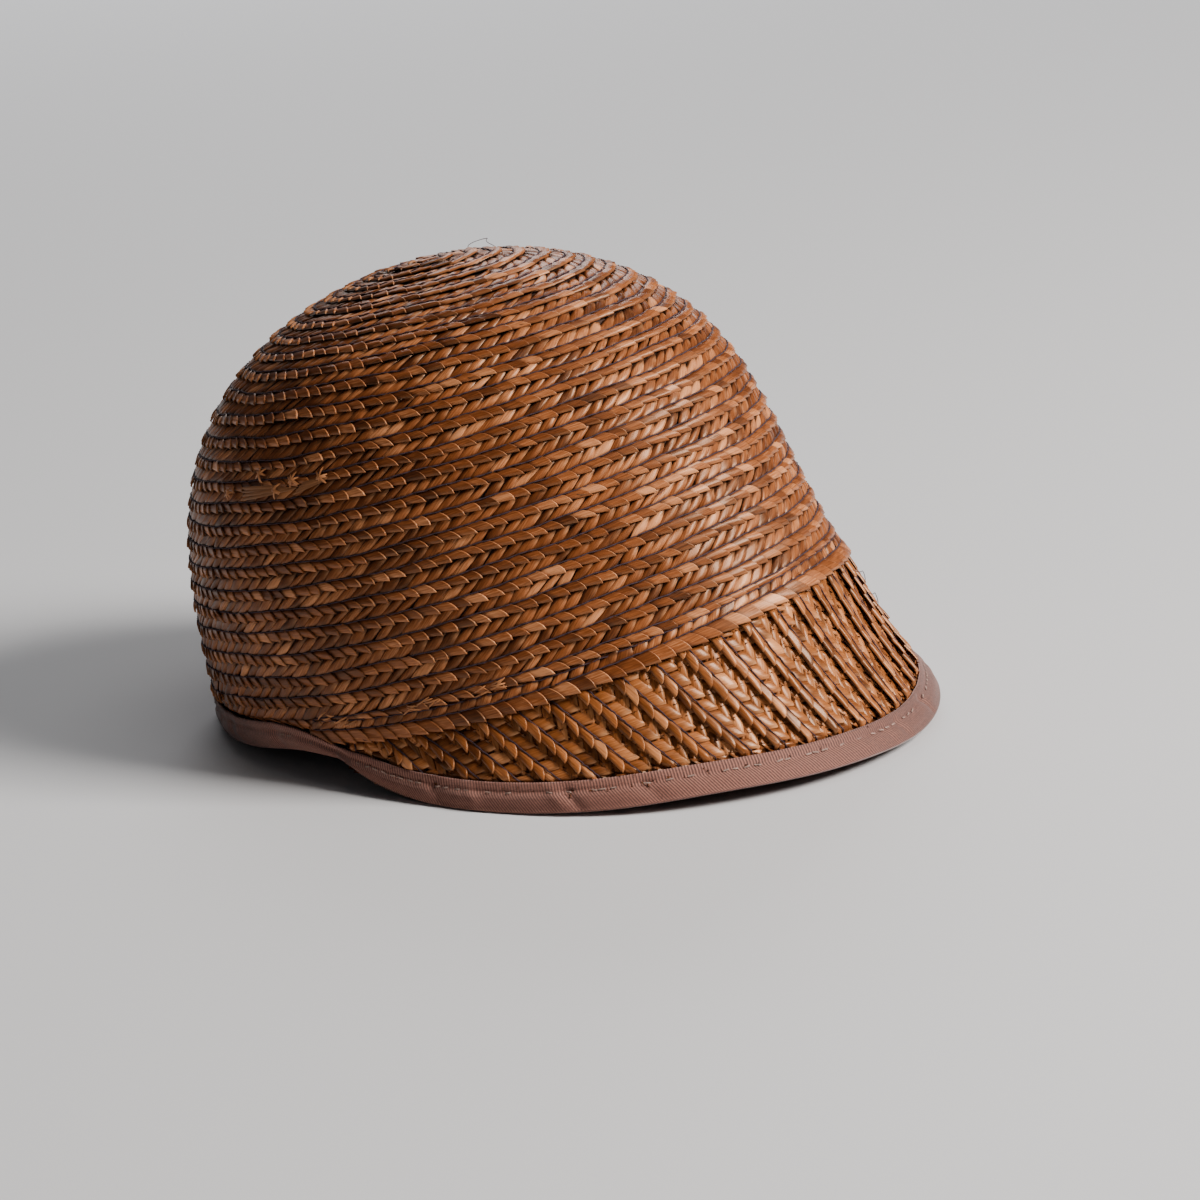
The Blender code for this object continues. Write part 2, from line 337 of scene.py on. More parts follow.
def row_run(row, angle):
    """Run up the dome of a place in the spiral."""
    rows = [place.row for place in ROWS]
    side = np.interp(row, rows, [place.side for place in ROWS])
    front = np.interp(row, rows, [place.front for place in ROWS])
    return mix(side, front, smoothstep(*FRONT_RISE, np.abs(angle)))


def wrap(angle):
    return (angle + 180.0) % 360.0 - 180.0


def normals(surface, first, second, reach_first, reach_second):
    """Points and outward normals of a surface given by two parameters."""
    point = surface(first, second)
    along = surface(first + reach_first, second) - surface(first - reach_first, second)
    across = surface(first, second + reach_second) - surface(first, second - reach_second)
    return point, unit(np.cross(along, across))


def resting_seat():
    """Lean and place that set the cap on its own rim, as the frame has it."""
    angles = np.arange(0, 181)
    rim = wall_point(angles, rim_value("height", angles), RIBBON_CORNER)
    best_height = math.inf
    lean = 0.0
    for front in rim:
        for back in rim:
            if front[1] < 0.0 < back[1]:
                slope = (back[2] - front[2]) / (back[1] - front[1])
                if front[2] - front[1] * slope < best_height:
                    best_height = front[2] - front[1] * slope
                    lean = math.atan(slope)
    turn = Matrix.Rotation(-lean, 4, "X")
    angles = 360.0 * np.arange(RIBBON_SIDES) / RIBBON_SIDES - 180.0
    foot = rim_value("height", angles)
    hem = np.concatenate([
        wall_point(angles, foot, RIBBON_CORNER),
        wall_point(angles, foot + RIBBON_CORNER, 0.0),
        wall_point(angles, ribbon_top(angles), 0.0),
        wall_point(angles, foot, RIBBON_INNER_DEPTH - RIBBON_CORNER),
    ])
    hem = hem @ np.array(turn.to_3x3()).T
    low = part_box("rim_ribbon")[0]
    place = Vector((0.0, low.y - hem[:, 1].min(), -hem[:, 2].min() - FLATTENING))
    return Matrix.Translation(place) @ turn


SEAT = resting_seat()


def seated(points, lowest):
    """Points of the resting cap. Straw and thread stay inside the ribbon, which alone meets the floor."""
    matrix = np.array(SEAT)
    placed = points.reshape(-1, 3) @ matrix[:3, :3].T + matrix[:3, 3]
    placed[:, 2] = np.maximum(placed[:, 2], lowest)
    return placed


# Meshes

def add_object(name, data):
    made = bpy.data.objects.new(name, data)
    bpy.context.scene.collection.objects.link(made)
    return made


def finish_mesh(name, bm, material, replaced=()):
    mesh = bpy.data.meshes.new(name)
    bm.to_mesh(mesh)
    bm.free()
    mesh.shade_smooth()
    mesh.materials.append(material)
    piece = add_object(name, mesh)
    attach(piece, "root")
    if replaced:
        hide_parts(*replaced)
    return piece


def bent_grid(sections, lowest=STRAW_FLOOR):
    """A grid of faces bent over rows of points on the form."""
    rows, across = sections.shape[:2]
    bm = bmesh.new()
    bmesh.ops.create_grid(bm, x_segments=across - 1, y_segments=rows - 1, size=0.5)
    for vert, point in zip(bm.verts, seated(sections, lowest)):
        vert.co = point
    return bm


def set_tone(piece, tone, edge, depth):
    """Colour of every strand, a mask of edge wear and painted highlight near its cut or folded edge, and a
    mask of painted shade where it is sunk.
    """
    layer = piece.data.color_attributes.new("tone", "FLOAT_COLOR", "POINT")
    values = np.stack(np.broadcast_arrays(tone, edge, depth, 1.0), axis=-1)
    layer.data.foreach_set("color", values.astype(np.float32).ravel())


def set_strand_map(piece, along, across):
    """Map of the fibres in metres: across the strand and along it."""
    layer = piece.data.uv_layers.new(name="strand")
    corners = np.zeros(len(piece.data.loops), np.int32)
    piece.data.loops.foreach_get("vertex_index", corners)
    values = np.stack(np.broadcast_arrays(across, along), axis=-1).reshape(-1, 2)[corners]
    layer.data.foreach_set("uv", values.astype(np.float32).ravel())


def patch_field(count, along, across):
    """Separate patches in a row: one long grid with the faces between the patches taken out."""
    bm = bmesh.new()
    bmesh.ops.create_grid(bm, x_segments=across, y_segments=count * (along + 1) - 1, size=0.5)
    bm.faces.ensure_lookup_table()
    between = [face for place, face in enumerate(bm.faces) if place // across % (along + 1) == along]
    bmesh.ops.delete(bm, geom=between, context="FACES_ONLY")
    return bm


def scattered(count, spread):
    return rng.uniform(-spread, spread, count)


Strand = namedtuple("Strand", "step lift tilt twist slant fold fold_at tone shift")


def loose_strands(count):
    """Small differences from one crossing of the plait to the next."""
    pale = rng.uniform(0.0, 1.0, count) > 0.955
    return Strand(
        step=1.0 + scattered(count, 0.20),
        lift=scattered(count, 0.13) + 0.16 * pale,
        tilt=scattered(count, 0.42),
        twist=rng.normal(0.0, 0.24, count),
        slant=1.0 + scattered(count, 0.32),
        fold=rng.normal(0.0, 0.50, count),
        fold_at=rng.uniform(0.30, 0.70, count),
        tone=np.clip(rng.normal(0.5, 0.23, count) + 0.45 * pale, 0.0, 1.15),
        shift=rng.uniform(0.0, 1.0, count),
    )


# edge is a mask of edge wear and painted highlight, sunk a mask of painted shade
Patch = namedtuple("Patch", "x y n edge sunk fibre_along fibre_across")


def whole_patch(*fields):
    """A patch with every field at each of its points."""
    return Patch(*np.broadcast_arrays(*fields))


def columns(strands):
    """Each strand's values, shaped to meet a patch's places along and across."""
    return Strand(*[values[:, None, None] for values in strands])


def crease(own, a, b, lean):
    """A straw's fold: a ridge or a valley that runs up the strand, leaning to one side."""
    return own.fold * (0.25 - np.abs(a - own.fold_at + lean * (b - 0.5)))


def crisp(segments, lip):
    """Even places across a strand with a narrow lip at each end, which turns its edges down sharply."""
    return np.concatenate([[0.0], np.linspace(lip, 1.0 - lip, segments - 1), [1.0]])


def leaf_patch(strands, segments, below, above, lean, size, pace=PLAIT_STEP):
    """Leaf of the folded edge: tucked under the last leaf at its back, proud and cut at its front."""
    along, across = segments
    own = columns(strands)
    a = np.concatenate([np.linspace(0.0, 0.955, along - 1), [0.985, 1.0]])[None, :, None]
    b = crisp(across, 0.07)[None, None, :]
    last = (np.arange(along + 1) == along)[None, :, None]
    first_row = (np.arange(across + 1) == 0)[None, None, :]
    curve = 1.0 - (2.0 * b - 1.0) ** 2
    x = pace * ((a - 0.52) * LEAF_OVERLAP * own.step + 0.14 * a ** 3 * curve)
    x = x + (0.5 - b) * lean * own.slant
    y = mix(-below, above, b) + (0.35 - 0.80 * a ** 1.5) * (1.0 - b) ** 2
    n = -LEAF_TUCK + LEAF_RISE * a ** 1.3
    n = n + own.lift + own.tilt * (b - 0.5)
    n = n + 0.20 * curve + own.twist * (a - 0.5) * (b - 0.5)
    n = n + 0.80 * crease(own, b, a, 0.5) + 0.06 * a * (1.0 - b)
    n = n - LEAF_HEM * first_row - LEAF_HEM * np.maximum((b - 0.78) / 0.22, 0.0) ** 2
    n = np.where(last, n - LEAF_CUT, n) * size
    # Edge mask: the cut end and the folded lower edge are lightened, partly as wear and partly as a painted
    # highlight of the fold
    highlight_strength = 0.05 + 0.60 * own.shift
    edge = (1.5 - b) * smoothstep(0.955, 0.985, a) + 0.5 * smoothstep(0.12, 0.06, b)
    edge = highlight_strength * np.clip(edge, 0.0, 1.0)
    # Sunk mask: painted shade at the back under the last leaf, at the top under the row above, at the cut end
    # and along the lower lip
    sunk = smoothstep(0.46, 0.16, a) + smoothstep(0.84, 1.0, b) + 0.6 * last + 0.5 * first_row
    sunk = np.clip(sunk, 0.0, 1.0)
    return whole_patch(x, y, n, edge, sunk, x, y)


def float_patch(strands, segments, low, high, slant, swell, calm=1.0, dive=0.0, pace=PLAIT_STEP):
    """Float of the plait: a flat pillow of folded straw that dives under at both ends."""
    along, across = segments
    own = columns(strands)
    a = crisp(along, 0.05)[None, :, None]
    b = np.linspace(0.0, 1.0, across + 1)[None, None, :]
    taper = 0.20 * dive + 0.12 * (1.0 - dive) * b ** 4
    width = pace * own.step * (FLOAT_WIDTH - taper)
    x = (a - 0.5) * width + (b - 0.5) * slant * (1.0 + calm * (own.slant - 1.0))
    y = mix(low, high, b) + 0.50 * (a - 0.5) * np.sign(slant)
    side = np.abs(2.0 * a - 1.0)
    border = side > 0.999
    n = swell * (1.0 - side ** 2) - (SIDE_DROP + 0.3 * dive) * border + 0.10 * (a - 0.5)
    n = n - dive * np.abs(2.0 * b - 1.0) ** 2.5
    n = n - END_DROP * (np.maximum(1.0 - b / 0.30, 0.0) ** 2 + np.maximum((b - 0.80) / 0.20, 0.0) ** 2)
    loose = own.lift + own.tilt * (a - 0.5) * 0.9
    loose = loose + own.twist * (a - 0.5) * (b - 0.5) * 3.0 + crease(own, a, b, 0.35)
    n = n + calm * loose
    # Edge mask: the upper right of each float is lightened as a painted sheen
    highlight_strength = 0.2 + own.shift
    edge = highlight_strength * smoothstep(0.60, 0.93, a) * (a < 0.99) * smoothstep(0.2, 0.7, b)
    # Sunk mask: painted shade at the dropped sides, the lower end and the notches under the row above
    notch_shade = smoothstep(0.80, 1.0, b) if dive else smoothstep(0.58, 0.84, b + 0.34 * (side - 0.5))
    sunk = np.clip(1.0 * border + smoothstep(0.22, 0.0, b) + notch_shade, 0.0, 1.0)
    turn = math.atan2(slant, high - low)
    across_strand = x * math.cos(turn) - y * math.sin(turn)
    along_strand = x * math.sin(turn) + y * math.cos(turn)
    return whole_patch(x, y, n, edge, sunk, along_strand, across_strand)


def laid_plait(name, material, patch, strands, points, segments, replaced=(), outside=True):
    """One column of plait as a piece, from its points on the form before the cap is seated."""
    piece = finish_mesh(name, patch_field(len(strands.tone), *segments), material, replaced)
    piece.data.vertices.foreach_set("co", seated(points, STRAW_FLOOR).astype(np.float32).ravel())
    piece.data.update()
    own = columns(strands)
    set_tone(piece, own.tone, patch.edge, patch.sunk)
    drift = 0.05 * own.shift
    set_strand_map(piece, patch.fibre_along * MM + drift, patch.fibre_across * MM + drift * 3.0)
    if outside:
        piece.data.flip_normals()
    return piece


# The spiral of plait on the crown

def spiral_surface(depth):
    def surface(angle, row):
        return crown_point(angle, height_at_run(row_run(row, angle)), depth)
    return surface


def spiral_stations(spacing, first, last):
    """Places along the spiral an even run apart, as turns from the first row's start."""
    turns = np.arange(first, last, SPIRAL_SAMPLE)
    angle = wrap(ROW_START_ANGLE - 360.0 * turns)
    points = spiral_surface(0.0)(angle, turns)
    run = run_along(points)
    places = np.arange(0.0, run[-1], spacing)
    stations = np.interp(places, run, turns)
    rate = np.interp(stations, turns, np.gradient(turns, run))
    return stations, rate


def cover_height(angle):
    """Height below which the lap row or the ribbon hides the rows."""
    under_lap = joint_height(angle) + LAP_HEIGHT - 1.0 * MM
    return mix(under_lap, ribbon_top(angle), smoothstep(*COVER_SWAP, np.abs(angle)))


ROW_DRIFT = tuple((waves, rng.uniform(0.0, 2.0 * math.pi)) for waves in (2.3, 5.7, 9.1, 14.3))


def row_drift(turns):
    """How far the rows wander up and down where they were sewn by hand, in millimetres."""
    return sum(DRIFT * np.sin(2.0 * math.pi * waves * turns + phase) for waves, phase in ROW_DRIFT)


def cover_sink(angle, height):
    """How far straw sinks in where the lap row or the ribbon passes over it."""
    cover = cover_height(angle)
    return COVER_SINK * faded(cover, CROWN_FADE, height)


def shingled(tuck, across):
    """Rows lap like shingles: raised at the lower edge's side and tucked at the upper one's."""
    return -tuck * (across + EDGE_BELOW) / (EDGE_BELOW + FLOAT_ABOVE)


def laid_on_crown(patch, stations, rate, side):
    """Lay a patch on the spiral: side is 1 outside and -1 inside."""
    depth, tuck = (0.0, ROW_TUCK) if side > 0 else (LINING, -INNER_TUCK)
    turns = stations[:, None, None] + patch.x * MM * rate[:, None, None]
    angle = wrap(ROW_START_ANGLE - 360.0 * turns)
    row = np.minimum(turns + (patch.y + row_drift(turns)) / ROW_PITCH, ROWS[-1].row - 0.02)
    base, normal = normals(spiral_surface(depth), angle, row, *SPIRAL_REACH)
    height = patch.n * side + shingled(tuck, patch.y) * side
    sink = cover_sink(angle, base[..., 2]) * (side > 0)
    return base + normal * (height * MM - sink)[..., None]


def crown_column(name, low, high, make_patch, segments, straw, side):
    """A column of plait all along the spiral, left out where the lap row or the ribbon hides it."""
    stations, rate = spiral_stations(PLAIT_STEP * MM, FIRST_ROW, LAST_ROW)
    strands = loose_strands(len(stations))
    stations = stations + scattered(len(stations), 0.05) * PLAIT_STEP * MM * rate
    angle = wrap(ROW_START_ANGLE - 360.0 * stations)
    top = height_at_run(row_run(stations + high / ROW_PITCH, angle))
    outside = side > 0
    edge = cover_height(angle) + OUTSIDE_MARGIN if outside else joint_height(angle) + INSIDE_MARGIN
    shown = top > edge
    strands = Strand(*[values[shown] for values in strands])
    patch = make_patch(strands, segments, low, high)
    points = laid_on_crown(patch, stations[shown], rate[shown], side)
    laid_plait(name, straw, patch, strands, points, segments, outside=outside)


def edge_leaf(strands, segments, low, high):
    return leaf_patch(strands, segments, -low, high, 3.4, 1.0)


def make_crown(straw):
    upper_float = partial(float_patch, slant=5.0, swell=0.40)
    inner_float = partial(float_patch, slant=2.2, swell=0.30)
    inner_back_float = partial(float_patch, slant=-2.4, swell=0.28)
    crown_column("crown_floats", -0.1, FLOAT_ABOVE, upper_float, (6, 6), straw, 1.0)
    crown_column("crown_edges", -EDGE_BELOW, JUST_ABOVE, edge_leaf, (6, 5), straw, 1.0)
    crown_column("lining_floats", -0.2, 3.6, inner_float, (3, 3), straw, -1.0)
    crown_column("lining_edges", -3.4, 0.2, inner_back_float, (3, 3), straw, -1.0)


def skin(name, sections, material, replaced=()):
    """Bend a grid over closed sections, weld what meets and close what is left open."""
    bm = bent_grid(sections)
    bmesh.ops.remove_doubles(bm, verts=bm.verts, dist=1e-6)
    bmesh.ops.holes_fill(bm, edges=[edge for edge in bm.edges if edge.is_boundary], sides=0)
    bmesh.ops.recalc_face_normals(bm, faces=bm.faces)
    return finish_mesh(name, bm, material, replaced)


def make_crown_core(material):
    """Under layers of the crown, seen only as shade between the strands."""
    angles = np.linspace(-180.0, 180.0, 145)
    over_joint = joint_height(angles) + CORE_OVER_JOINT
    over_rim = rim_value("height", angles) + CORE_OVER_RIM
    foot = mix(over_joint, over_rim, smoothstep(*CORE_SWAP, np.abs(angles)))
    run = np.linspace(0.0, 1.0, 60)
    foot_run = np.interp(foot, SIDE_HEIGHTS, SIDE_RUN)
    up = height_at_run(foot_run[:, None] + (SIDE_RUN[-1] - foot_run)[:, None] * run[None, :])
    cover = cover_height(angles)[:, None]
    under_cover = faded(cover, CORE_FADE, up)
    outer = crown_point(angles[:, None], up, CORE_OUTER + 0.4 * MM * under_cover)
    inner = crown_point(angles[:, None], up, CORE_INNER)
    sections = np.concatenate([inner, outer[:, ::-1]], axis=1)
    sections = np.concatenate([sections, sections[:, :1]], axis=1)
    return skin("crown_core", sections, material, ("crown",))


# Rows that are laid along a line of their own: the lap row and the strips of the peak

def angle_at(points):
    return np.degrees(np.arctan2(-points[..., 0] / HALF_WIDTH, -points[..., 1] / HALF_LENGTH))


def laid_on_lap(patch, surface, places):
    """Lay a patch on the lap row, sunk where the ribbon passes over it."""
    base, normal = normals(surface, places[:, None, None] + patch.x, patch.y, *STRIP_REACH)
    top = ribbon_top(angle_at(base))
    sink = LAP_SINK * faded(top, LAP_FADE, base[..., 2])
    return base + normal * ((patch.n + shingled(LAP_TUCK, patch.y) - sink) * MM)[..., None]


def lap_surface():
    """The lap row's thread lies a little above its lower edge; the run goes from the near side to the far."""
    angles = np.linspace(LAP_END + LAP_TAIL, -LAP_END - LAP_TAIL, 900)
    thread = joint_height(angles) + LAP_THREAD * MM
    run = run_along(crown_point(angles, thread, 0.0)) / MM

    def surface(along, across):
        angle = np.interp(along, run, angles)
        return crown_point(angle, joint_height(angle) + (LAP_THREAD + across) * MM, -LAP_PROUD * MM)
    return surface, run[-1]


def lap_column(name, straw, make_patch, segments, replaced=()):
    """A column of plait all along the lap row."""
    surface, length = lap_surface()
    places = np.arange(0.6 * PLAIT_STEP, length - 0.4 * PLAIT_STEP, PLAIT_STEP)
    places = places + scattered(len(places), 0.25)
    strands = loose_strands(len(places))
    patch = make_patch(strands, segments)
    points = laid_on_lap(patch, surface, places)
    laid_plait(name, straw, patch, strands, points, segments, replaced)


def make_lap_row(straw):
    lap_float = partial(float_patch, low=-0.1, high=3.1, slant=2.0, swell=0.32)
    lap_leaf = partial(leaf_patch, below=LAP_THREAD, above=JUST_ABOVE, lean=4.4, size=1.05)
    lap_column("lap_row_floats", straw, lap_float, (7, 7), ("lap_row",))
    lap_column("lap_row_edge", straw, lap_leaf, (8, 7))


# Peak

Strip = namedtuple("Strip", "surface start end width skew")


def strip_surface(edge, depth):
    """One strip as run down from the joint and place square across it, both from its thread."""
    drops = np.linspace(-0.12, 0.985, 60)
    mid = strip_point(edge - STRIP_PITCH / 2.0, drops, depth)
    run = run_along(mid) / MM
    run = run - np.interp(0.0, drops, run)
    down = mid[45] - mid[20]
    over = strip_point(edge - STRIP_PITCH, 0.5, depth) - strip_point(edge, 0.5, depth)
    width = np.linalg.norm(over) / MM
    cosine = np.dot(down, over) / (np.linalg.norm(down) * np.linalg.norm(over))
    sine = math.sqrt(1.0 - cosine ** 2)

    def surface(along, across):
        drop = np.interp(along - across * cosine / sine, run, drops)
        start = edge - STRIP_PITCH * (across + EDGE_BELOW) / (width * sine)
        return strip_point(start, drop, depth)
    return Strip(surface, run[0], run[-1], width * sine, cosine / sine)


def strip_point(start, drop, depth):
    lean = STRIP_LEAN * np.sin(np.radians(start + STRIP_SKEW))
    lean = lean * (1.0 - smoothstep(STRIP_LEAN_FADE, PEAK_END, np.abs(start)))
    angle = start - lean * drop
    joint = joint_height(start)
    height = joint - drop * (joint - rim_value("height", angle))
    return wall_point(angle, height, depth)


def strip_edges():
    first = math.floor((PEAK_END - STRIP_PHASE) / STRIP_PITCH)
    last = math.ceil((-PEAK_END + 3.0 - STRIP_PHASE) / STRIP_PITCH)
    return [STRIP_PHASE + STRIP_PITCH * strip for strip in range(first, last - 1, -1)]


def peak_column(name, straw, layer, make_patch, middle, phase, segments, replaced=()):
    """The same column of plait on every strip of the peak, as one piece."""
    laid = []
    for place, edge in enumerate(strip_edges()):
        strip = strip_surface(edge, layer.depth * MM)
        shift = middle * strip.skew
        last = strip.end - layer.short - PEAK_UNEVEN * (0.37 * place % 1.0) + shift
        places = np.arange(last - phase * PEAK_STEP, strip.start + shift, -PEAK_STEP)[::-1]
        strands = loose_strands(len(places))
        patch = make_patch(strands, segments)
        laid.append((strands, patch, laid_on_peak(patch, strip, places, layer)))
    made, parts, points = zip(*laid)
    strands = Strand(*[np.concatenate(values) for values in zip(*made)])
    patch = Patch(*[np.concatenate(values) for values in zip(*parts)])
    points = np.concatenate(points)
    laid_plait(name, straw, patch, strands, points, segments, replaced, layer.side > 0)


def laid_on_peak(patch, strip, places, layer):
    """Lay a patch on a strip, sunk where the ribbon or the lap row hides it and clear of the hem."""
    base, normal = normals(strip.surface, places[:, None, None] + patch.x, patch.y, *STRIP_REACH)
    shingle = layer.tuck * (1.0 - 2.0 * (patch.y + EDGE_BELOW) / strip.width)
    angle = angle_at(base)
    top = ribbon_top(angle)
    joint = joint_height(angle)
    hidden = faded(top, PEAK_FADE, base[..., 2])
    hidden = np.maximum(hidden, faded(joint, JOINT_FADE, base[..., 2]))
    height = (patch.n * layer.side + shingle) * MM - layer.sunk * MM * hidden
    points = base + normal * height[..., None]
    points[..., 2] = np.maximum(points[..., 2], rim_value("height", angle) + PEAK_HEM * MM)
    return points


def brick_column(name, straw, layer, column, segments):
    """Crossings of the peak's weave: slanted floats that dive under their neighbours at both ends."""
    middle = layer.first + PEAK_FLOAT_PITCH * column
    low, high = middle - PEAK_FLOAT_PITCH, middle + PEAK_FLOAT_PITCH
    odd = column % 2
    lean = PEAK_FLOAT_LEANS[odd]

    def make_patch(strands, segments):
        patch = float_patch(strands, segments, low, high, lean, 0.32, 0.35, 0.70, PEAK_STEP)
        return patch._replace(n=patch.n + 0.08 * (1 - odd))
    peak_column(name, straw, layer, make_patch, middle, 0.5 * odd, segments)


def make_peak(straw, core):
    peak_column("peak_edges", straw, PEAK_OUTSIDE, rope_leaf, -1.5, 0.0, (8, 6), ("peak",))
    for column in range(4):
        brick_column("peak_floats_%d" % column, straw, PEAK_OUTSIDE, column, (6, 6))
    for column in range(5):
        brick_column("peak_lining_%d" % column, straw, PEAK_INSIDE, column, (4, 4))
    starts = np.linspace(PEAK_END, -PEAK_END, 160)[:, None]
    drops = np.linspace(-0.10, 0.97, 24)[None, :]
    outer, inner = (strip_point(starts, drops, depth * MM) for depth in PEAK_CORE_DEPTHS)
    sections = np.concatenate([outer, inner[:, ::-1], outer[:, :1]], axis=1)
    skin("peak_core", sections, core)


def rope_leaf(strands, segments):
    """Leaf of a strip's folded edge, fuller than the crown's."""
    patch = leaf_patch(strands, segments, EDGE_BELOW, JUST_ABOVE, 3.2, 1.25, PEAK_STEP)
    part = np.linspace(0.0, 1.0, segments[0] + 1)[None, :, None]
    return patch._replace(n=patch.n + 0.24 * np.sin(math.pi * part) ** 2)


# Sewing thread

def thread_tube(name, material, centre, normal, radius):
    """Round thread along a line of points, drawn to a point at its ends; the radius in millimetres."""
    ahead = unit(np.gradient(centre, axis=0))
    across = unit(np.cross(ahead, normal))
    out = np.cross(across, ahead)
    turn = 2.0 * math.pi * np.arange(THREAD_SIDES + 1)[None, :, None] / THREAD_SIDES
    thick = np.full(len(centre), radius * MM)
    thick[[0, -1]] *= 0.02
    ring = np.cos(turn) * out[:, None, :] + np.sin(turn) * across[:, None, :]
    bm = bent_grid(centre[:, None, :] + ring * thick[:, None, None])
    bmesh.ops.remove_doubles(bm, verts=bm.verts, dist=2e-6)
    bmesh.ops.recalc_face_normals(bm, faces=bm.faces)
    return finish_mesh(name, bm, material)


def make_crown_thread(material):
    stations, _ = spiral_stations(THREAD_STEP * MM, 0.0, LAST_ROW - 0.3)
    count = len(stations)
    angle = wrap(ROW_START_ANGLE - 360.0 * stations)
    bends = np.arange(0, count + 3, 3)
    wander = np.interp(np.arange(count), bends, scattered(len(bends), 0.2))
    row = stations + (wander + row_drift(stations)) / ROW_PITCH
    base, normal = normals(spiral_surface(0.0), angle, row, *SPIRAL_REACH)
    wave = CROWN_THREAD_WAVE * np.cos(2.0 * math.pi * np.arange(count) * THREAD_STEP / STITCH)
    lift = shingled(ROW_TUCK, 0.0) + CROWN_THREAD_LIFT + (wave + scattered(count, 0.06))
    height = lift * MM - cover_sink(angle, base[:, 2])
    centre = base + normal * height[:, None]
    thread_tube("crown_thread", material, centre, normal, CROWN_THREAD_RADIUS)


def make_strip_threads(material):
    for place, edge in enumerate(strip_edges()):
        strip = strip_surface(edge, PEAK_OUTSIDE.depth * MM)
        along = np.arange(strip.start, strip.end, 1.0)
        across = 0.05 + scattered(len(along), 0.15)
        line = whole_patch(along[None, :, None], across[None, :, None], STRIP_THREAD_LIFT, 0, 0, 0, 0)
        centre = laid_on_peak(line, strip, np.zeros(1), PEAK_OUTSIDE).reshape(-1, 3)
        normal = normals(strip.surface, along, across, *STRIP_REACH)[1]
        name = "peak_thread_%02d" % place
        thread_tube(name, material, centre, normal, STRIP_THREAD_RADIUS)


def make_lap_threads(material):
    surface, length = lap_surface()
    along = np.arange(1.0, length - 1.0, 1.0)
    for name, across, height in LAP_THREADS:
        place = across + scattered(len(along), 0.16)
        base, normal = normals(surface, along, place, *STRIP_REACH)
        wave = LAP_THREAD_WAVE * np.cos(2.0 * math.pi * along / STITCH)
        centre = base + normal * ((height + wave) * MM)[:, None]
        thread_tube(name, material, centre, normal, STRIP_THREAD_RADIUS)


# Repair and loose ends

def near_crown(angle, run):
    """The crown round one place: millimetres towards the front and up the dome."""
    height = height_at_run(run)
    degree = crown_point(angle + 1.0, height, 0.0) - crown_point(angle, height, 0.0)
    reach = np.linalg.norm(degree, axis=-1) / MM

    def surface(along, across):
        return crown_point(angle - along / reach, height_at_run(run + across * MM), 0.0)
    return surface


Blade = namedtuple("Blade", "angle run turn length width lift tone")


def make_blades(name, blades, material):
    """Short flat ends of straw that lie loose on the crown."""
    rows = Blade(*[np.array(values)[:, None, None] for values in zip(*blades)])
    a = np.linspace(0.0, 1.0, 7)[None, :, None]
    b = np.linspace(0.0, 1.0, 3)[None, None, :]
    turn = np.radians(rows.turn)
    length = (a - 0.5) * rows.length
    width = (b - 0.5) * rows.width * (1.0 - 0.5 * (2.0 * a - 1.0) ** 4)
    x = length * np.cos(turn) - width * np.sin(turn)
    y = length * np.sin(turn) + width * np.cos(turn)
    n = 0.25 + rows.lift * (1.0 - (2.0 * a - 1.0) ** 2) + 0.12 * (1.0 - (2.0 * b - 1.0) ** 2)
    strands = loose_strands(len(blades))._replace(tone=rows.tone.ravel())
    patch = whole_patch(x, y, n, 0.5, 0.0, length, width)
    base, normal = normals(near_crown(rows.angle, rows.run * MM), x, y, *STRIP_REACH)
    points = base + normal * (n * MM)[..., None]
    laid_plait(name, material, patch, strands, points, (6, 2))


# Angle and run of the places where the darn is caught, and where straw ends fray above the joint
DARN_PLACES = ((110.5, 92.0), (105.5, 87.0), (94.0, 89.5), (121.0, 87.0), (101.0, 89.0))
DARN_TURNS = (20.0, 75.0, 130.0, 165.0)
FRAYED_PLACES = ((100.5, 16.0), (98.0, 14.5), (82.0, 16.0), (80.0, 17.5), (69.0, 17.5), (66.5, 18.5))
FRAYED_COUNT = 4


def make_repair(straw):
    """Darn on the near side at the back: dark straws laid over the rows and caught by crossed ends."""
    blades = []
    for place in range(4):
        lift = 0.35 + 0.15 * (place % 2)
        tone = 0.02 + 0.10 * (place % 2)
        turn = 5.0 - 2.0 * place
        length = 25.0 - 2.0 * place
        blades.append(Blade(108.0 + 0.7 * place, 85.8 + 0.75 * place, turn, length, 1.1, lift, tone))
        lift = 0.40 + 0.12 * (place % 3)
        tone = 0.05 + 0.08 * (place % 3)
        turn = 14.0 - 3.0 * place
        length = 13.0 - place
        blades.append(Blade(97.0 - 0.5 * place, 86.6 + 0.6 * place, turn, length, 1.0, lift, tone))
    for angle, run in DARN_PLACES:
        for turn in DARN_TURNS:
            spin = turn + rng.uniform(-18.0, 18.0)
            tone = rng.uniform(0.6, 1.0)
            start = run + rng.uniform(-0.7, 0.7)
            blades.append(Blade(angle, start, spin, rng.uniform(3.2, 5.6), 0.7, 0.9, tone))
    for angle, run in FRAYED_PLACES:
        for _ in range(FRAYED_COUNT):
            turn = rng.uniform(-20.0, 35.0)
            length = rng.uniform(2.0, 5.5)
            side = angle + rng.uniform(-2.5, 2.5)
            start = run + rng.uniform(-1.0, 1.0)
            blades.append(Blade(side, start, turn, length, 0.5, 0.7, rng.uniform(0.3, 0.8)))
    make_blades("loose_ends", blades, straw)


LOOSE_REACH = 1.5
LooseThread = namedtuple("LooseThread", "angle height turn length lift")
LOOSE_THREADS = (
    LooseThread(-59.5, 133.9, 20.0, 5.0, 2.6),
    LooseThread(-14.0, 11.0, -60.0, 7.0, 2.6),
    LooseThread(-15.0, 3.0, -75.0, 6.0, 2.2),
    LooseThread(30.0, 60.0, 15.0, 4.0, 1.2),
)


